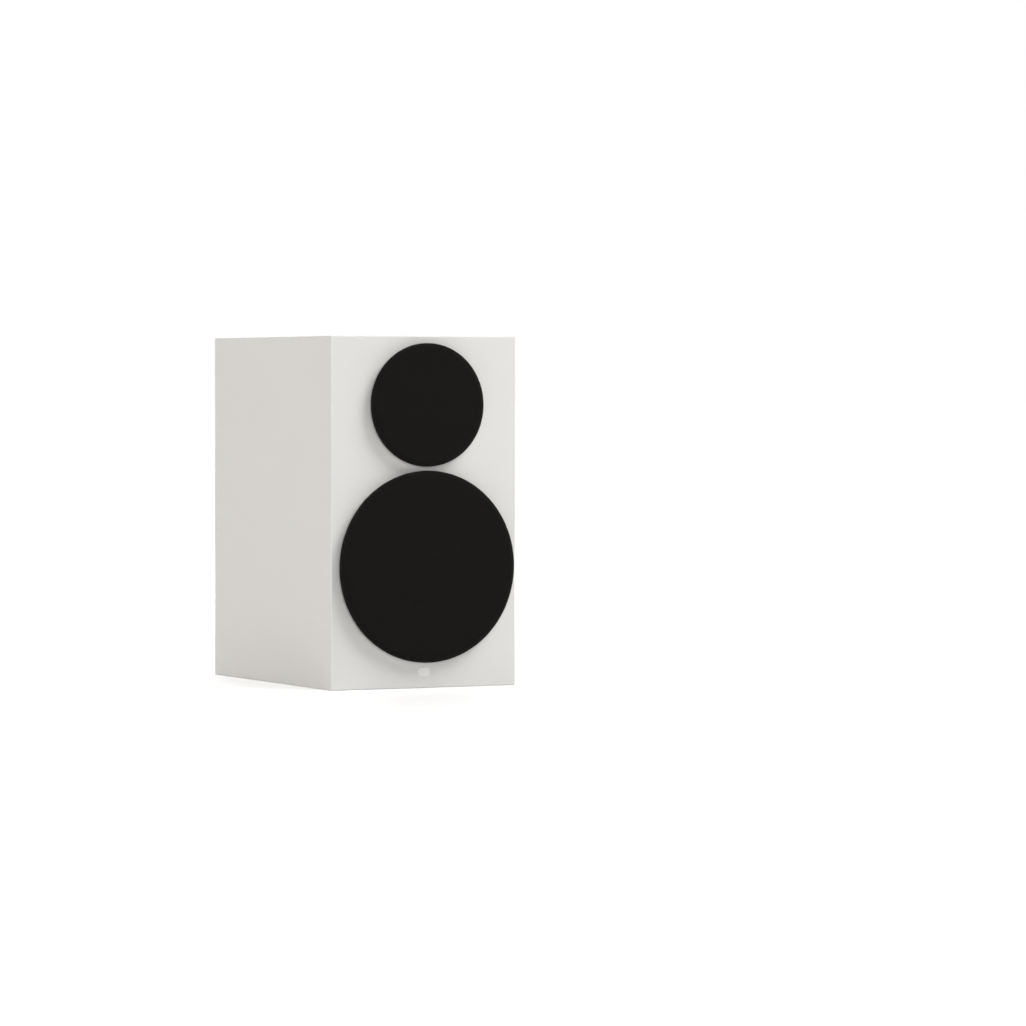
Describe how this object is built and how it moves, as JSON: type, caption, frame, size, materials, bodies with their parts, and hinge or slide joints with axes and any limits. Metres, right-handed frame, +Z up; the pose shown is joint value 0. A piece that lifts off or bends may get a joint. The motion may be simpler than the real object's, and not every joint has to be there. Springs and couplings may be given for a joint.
{
  "type": "bookshelf speaker",
  "caption": "Bookshelf speaker in a satin white cabinet, with round cloth grilles that pull off the woofer and tweeter, a rear reflex port and screw terminals.",
  "frame": {"origin": "centre of the cabinet's underside", "axes": "+Z up, the front with its grilles faces -Y, +X to the right as seen from the front"},
  "size_m": [0.218, 0.3348, 0.376],
  "materials": {
    "cabinet_lacquer": "satin white lacquer on fibreboard",
    "badge_enamel": "glossy off-white",
    "brace_board": "bare fibreboard",
    "wadding": "loose off-white polyester fleece",
    "grille_cloth": "black knitted acoustic cloth",
    "grille_hoop": "matt black moulded plastic",
    "magnet_strip": "dark flexible magnetic rubber",
    "driver_black_steel": "black powder-coated steel",
    "basket_casting": "black-painted die casting",
    "zinc_steel": "zinc-plated steel",
    "ferrite": "dark grey sintered ferrite",
    "surround_rubber": "matt black rubber",
    "cone_pulp": "charcoal coated cone",
    "spider_cloth": "amber resin-treated cloth",
    "coil_copper": "enamelled copper winding",
    "dome_cloth": "dark coated textile",
    "moulded_black": "fine-grained black moulding",
    "contact_gold": "gold-plated brass",
    "post_red": "red moulded plastic",
    "post_black": "black moulded plastic",
    "circuit_board": "green circuit board",
    "film_wrap": "yellow film wrap",
    "lead_jacket": "dark red flexible cable"
  },
  "bodies": {
    "cabinet": {"front_baffle": "cabinet_lacquer", "left_panel": "cabinet_lacquer", "right_panel": "cabinet_lacquer", "top_panel": "cabinet_lacquer", "bottom_panel": "cabinet_lacquer", "rear_panel": "cabinet_lacquer", "badge": "badge_enamel", "shelf_brace": "brace_board", "wadding_left": "wadding", "wadding_right": "wadding", "woofer_top_plate": "zinc_steel", "woofer_magnet": "ferrite", "woofer_yoke": "zinc_steel", "woofer_lead": "lead_jacket", "tweeter_top_plate": "zinc_steel", "tweeter_magnet": "ferrite", "tweeter_yoke": "zinc_steel", "tweeter_lead": "lead_jacket", "woofer_basket": "basket_casting", "woofer_trim_ring": "driver_black_steel", "tweeter_faceplate": "driver_black_steel", "woofer_screw_1": "zinc_steel", "cup_screw_1": "zinc_steel", "woofer_screw_2": "zinc_steel", "cup_screw_2": "zinc_steel", "woofer_screw_3": "zinc_steel", "cup_screw_3": "zinc_steel", "woofer_screw_4": "zinc_steel", "cup_screw_4": "zinc_steel", "tweeter_screw_1": "zinc_steel", "tweeter_screw_2": "zinc_steel", "tweeter_screw_3": "zinc_steel", "port_tube": "moulded_black", "terminal_cup": "moulded_black", "black_post_stud": "contact_gold", "black_post_collar": "post_black", "red_post_stud": "contact_gold", "red_post_collar": "post_red", "crossover_board": "circuit_board", "crossover_coil": "coil_copper", "crossover_capacitor": "film_wrap"},
    "woofer_grille": {"woofer_grille_cloth": "grille_cloth", "woofer_grille_hoop": "grille_hoop", "woofer_grille_magnet_strip": "magnet_strip"},
    "tweeter_grille": {"tweeter_grille_cloth": "grille_cloth", "tweeter_grille_hoop": "grille_hoop", "tweeter_grille_magnet_strip": "magnet_strip"},
    "woofer_cone_unit": {"woofer_cone": "cone_pulp", "woofer_dust_cap": "cone_pulp", "woofer_voice_coil": "coil_copper", "woofer_surround": "surround_rubber", "woofer_spider": "spider_cloth"},
    "tweeter_dome_unit": {"tweeter_dome": "dome_cloth", "tweeter_voice_coil": "coil_copper", "tweeter_surround": "dome_cloth"},
    "black_post_clamp": {"black_post_washer": "contact_gold"},
    "black_post_knob": {"black_post_cap": "post_black"},
    "red_post_clamp": {"red_post_washer": "contact_gold"},
    "red_post_knob": {"red_post_cap": "post_red"}
  },
  "joints": [
    {"name": "woofer_grille_pull", "type": "slide", "parent": "cabinet", "child": "woofer_grille", "axis": [0, -1, 0], "range_m": [0, 0.16]},
    {"name": "tweeter_grille_pull", "type": "slide", "parent": "cabinet", "child": "tweeter_grille", "axis": [0, -1, 0], "range_m": [0, 0.16]},
    {"name": "woofer_excursion", "type": "slide", "parent": "cabinet", "child": "woofer_cone_unit", "axis": [0, -1, 0], "range_m": [-0.005, 0.005], "stiffness_N_per_m": 1200, "deforming": ["woofer_surround", "woofer_spider"]},
    {"name": "tweeter_excursion", "type": "slide", "parent": "cabinet", "child": "tweeter_dome_unit", "axis": [0, -1, 0], "range_m": [-0.0004, 0.0004], "stiffness_N_per_m": 800, "deforming": ["tweeter_surround"]},
    {"name": "black_post_travel", "type": "slide", "parent": "cabinet", "child": "black_post_clamp", "axis": [0, 1, 0], "range_m": [0, 0.004]},
    {"name": "black_post_turn", "type": "hinge", "parent": "black_post_clamp", "child": "black_post_knob", "pos_m": [-0.019, 0.15, 0.088], "axis": [0, 1, 0], "range_deg": [0, 1440]},
    {"name": "red_post_travel", "type": "slide", "parent": "cabinet", "child": "red_post_clamp", "axis": [0, 1, 0], "range_m": [0, 0.004]},
    {"name": "red_post_turn", "type": "hinge", "parent": "red_post_clamp", "child": "red_post_knob", "pos_m": [0.019, 0.15, 0.088], "axis": [0, 1, 0], "range_deg": [0, 1440]}
  ],
  "couplings": [
    {"joint": "black_post_travel", "follows": "black_post_turn", "m_per_rad": 0.000159},
    {"joint": "red_post_travel", "follows": "red_post_turn", "m_per_rad": 0.000159}
  ]
}
